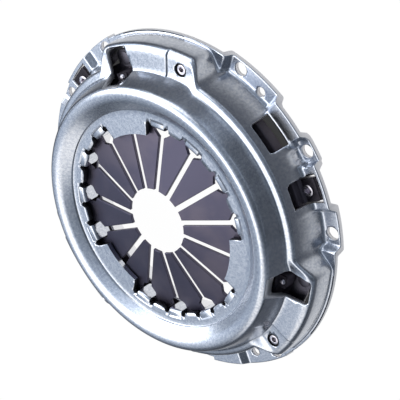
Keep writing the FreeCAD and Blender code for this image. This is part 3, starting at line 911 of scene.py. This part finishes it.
toward = Vector((math.sin(view_tilt), 0, math.cos(view_tilt)))
flat = Vector((math.cos(view_tilt), 0, -math.sin(view_tilt)))
side = Vector((0, 1, 0))
right = flat * math.cos(view_roll) + side * math.sin(view_roll)
up = side * math.cos(view_roll) - flat * math.sin(view_roll)
off_right, off_down = [(px - picture_px / 2) / focal_px for px in axis_px]
offset = Vector((off_right, -off_down, -1.0)) * view_distance
swing = Vector((0, 0, 1)).rotation_difference(-offset).to_matrix()
turned_view = (swing @ Matrix((right, up, toward))).transposed()
eye = turned_view @ -offset
camera = bpy.data.objects.new("camera", bpy.data.cameras.new("camera"))
camera.data.sensor_fit = "HORIZONTAL"
camera.data.sensor_width = sensor_mm
camera.data.lens = focal_px * sensor_mm / picture_px
placed = Matrix.Translation((0, 0, view_height)) @ Matrix.Rotation(view_turn, 4, "Z")
camera.matrix_world = placed @ Matrix.Translation(eye) @ turned_view.to_4x4()
bpy.context.scene.collection.objects.link(camera)
bpy.context.scene.camera = camera

# Light: two soft boxes, and a studio sky that the bright steel mirrors. The sky has a bright
# strip opposite the camera, is dimmer on the camera's side and gets brighter towards +Y.
camera_axes = camera.matrix_world.to_3x3()
lamp_rise = Vector((0, 0, 0.02))
strip_from, strip_to = (-0.73, -0.58), (-0.3, 0.05)
strip_rise = (0.2, 0.5)
sky_rise = (0.1, 0.62)


def soft_box(name, right_of, above, towards, size, watts):
    """An area lamp placed as seen from the camera, aimed at the object."""
    lamp = bpy.data.lights.new(name, "AREA")
    lamp.shape = "RECTANGLE"
    lamp.size, lamp.size_y = size
    lamp.energy = watts
    box = bpy.data.objects.new(name, lamp)
    place = camera_axes @ Vector((right_of, above, towards)) + lamp_rise
    box.matrix_world = Matrix.Translation(place) @ place.to_track_quat("Z", "Y").to_matrix().to_4x4()
    bpy.context.scene.collection.objects.link(box)


soft_box("key", 0.75, 0.45, 0.15, (0.5, 0.5), 3.0)
soft_box("fill", -0.5, 0.6, 0.5, (0.5, 0.5), 1.0)

world = bpy.data.worlds.new("studio")
world.use_nodes = True
bpy.context.scene.world = world
sky = world.node_tree.nodes["Background"]
ray = world.node_tree.nodes.new("ShaderNodeLightPath")
seen = Link(world.node_tree, ray.outputs["Is Camera Ray"])
mirrored = Link(world.node_tree, ray.outputs["Is Glossy Ray"])
heading = Link(world.node_tree, world.node_tree.nodes.new("ShaderNodeTexCoord").outputs["Generated"])
height = heading.part("Z")
across = heading.part("X")
strip = across.eased(*strip_from) * (1 - across.eased(*strip_to)) * height.eased(*strip_rise)
bands = heading.noise(2.4, 1.0).eased(0.42, 0.6) * (1 - height.eased(*strip_rise))
lean = (heading.part("Y") * 1.3 + 1).maths("MAXIMUM", 0.5)
sky_level = height.eased(*sky_rise) * (0.56 - across.eased(0.0, 0.5) * 0.40)
lamps = (0.09 + bands * 0.35 + sky_level + strip * 1.7) * lean
level = (1 - mirrored) * 0.5 + mirrored * lamps
strength = seen.maths("MAXIMUM", level)
world.node_tree.links.new(strength.socket, sky.inputs["Strength"])
tone = heading.tint(seen.maths("MAXIMUM", strip), (0.72, 0.83, 1.0), (1.0, 1.0, 1.0))
world.node_tree.links.new(tone.socket, sky.inputs["Color"])

# Floor, white paper that the camera sees plain. Under the rim it is dark, as in a contact shadow,
# and what steel mirrors of it is white near the part and dim further out. Its size and height are
# millimetres, and the radii of the fades are metres.
floor_half, floor_z = 3000.0, -0.3
shade_from, shade_to = (0.083, 0.088), (0.103, 0.107)
mirror_fade = (0.105, 0.16)
white_level, shade_depth = 1.06, 1.02
signs = ((-1, -1), (1, -1), (1, 1), (-1, 1))
floor = shown("floor", [(x * floor_half, y * floor_half, floor_z) for x, y in signs], [(0, 1, 2, 3)])
paper = bpy.data.materials.new("paper")
paper.use_nodes = True
tree = paper.node_tree
ray = tree.nodes.new("ShaderNodeLightPath")
seen = Link(tree, ray.outputs["Is Camera Ray"])
mirrored = Link(tree, ray.outputs["Is Glossy Ray"])
lit = seen.node("ShaderNodeBsdfDiffuse", {}, {"Color": (0.8, 0.8, 0.8, 1.0)}, "BSDF")
dim = seen.node("ShaderNodeBsdfDiffuse", {}, {"Color": (0.24, 0.24, 0.25, 1.0)}, "BSDF")
spot = Link(tree, tree.nodes.new("ShaderNodeTexCoord").outputs["Object"]).radius()
shade = spot.eased(*shade_from) * (1 - spot.eased(*shade_to))
far = spot.eased(*mirror_fade)
lit = seen.node("ShaderNodeMixShader", {}, {0: mirrored * far, 1: lit, 2: dim}, "Shader")
white = {"Color": (1.0, 1.0, 1.0, 1.0), "Strength": white_level - shade * shade_depth}
glow = seen.node("ShaderNodeEmission", {}, white, "Emission")
share = seen * 0.93 + mirrored * (1 - far) * 0.9
mixed = seen.node("ShaderNodeMixShader", {}, {0: share, 1: lit, 2: glow}, "Shader")
# From below, the floor can be looked through
below = Link(tree, tree.nodes.new("ShaderNodeNewGeometry").outputs["Backfacing"])
clear = seen.node("ShaderNodeBsdfTransparent", {}, {}, "BSDF")
mixed = seen.node("ShaderNodeMixShader", {}, {0: below, 1: mixed, 2: clear}, "Shader")
tree.links.new(mixed.socket, tree.nodes["Material Output"].inputs["Surface"])
floor.data.materials.append(paper)

bpy.context.scene.view_settings.view_transform = "Standard"
